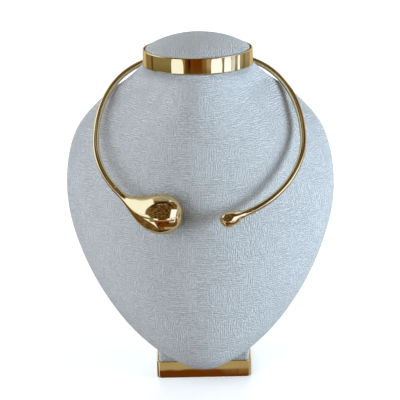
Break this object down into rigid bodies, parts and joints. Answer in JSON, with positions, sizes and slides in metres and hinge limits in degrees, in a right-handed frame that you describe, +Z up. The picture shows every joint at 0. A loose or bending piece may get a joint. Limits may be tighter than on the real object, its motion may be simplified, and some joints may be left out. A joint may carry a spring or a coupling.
{
  "type": "collar choker necklace on a neck bust stand",
  "caption": "Rigid open collar of polished gold-tone wire ending in drops of unlike size, resting on a plain padded leatherette neck bust with polished bands at neck and foot.",
  "frame": {"origin": "on the table, straight below the middle of the neck, on the foot's underside", "axes": "+Z up, -Y out of the chest, +X towards the small drop"},
  "size_m": [0.1734, 0.1035, 0.2189],
  "materials": {
    "polished_gold": "mirror-polished gold plate",
    "trim_gold": "bright polished gold-tone strip",
    "leatherette": "pale satin leatherette with a fine crossed grain"
  },
  "bodies": {
    "root": {"collar_wire": "polished_gold", "large_drop": "polished_gold", "small_drop": "polished_gold", "bust_form": "leatherette", "neck_band": "trim_gold", "neck_cap": "leatherette", "stand_foot": "leatherette", "foot_band": "trim_gold"}
  },
  "joints": []
}
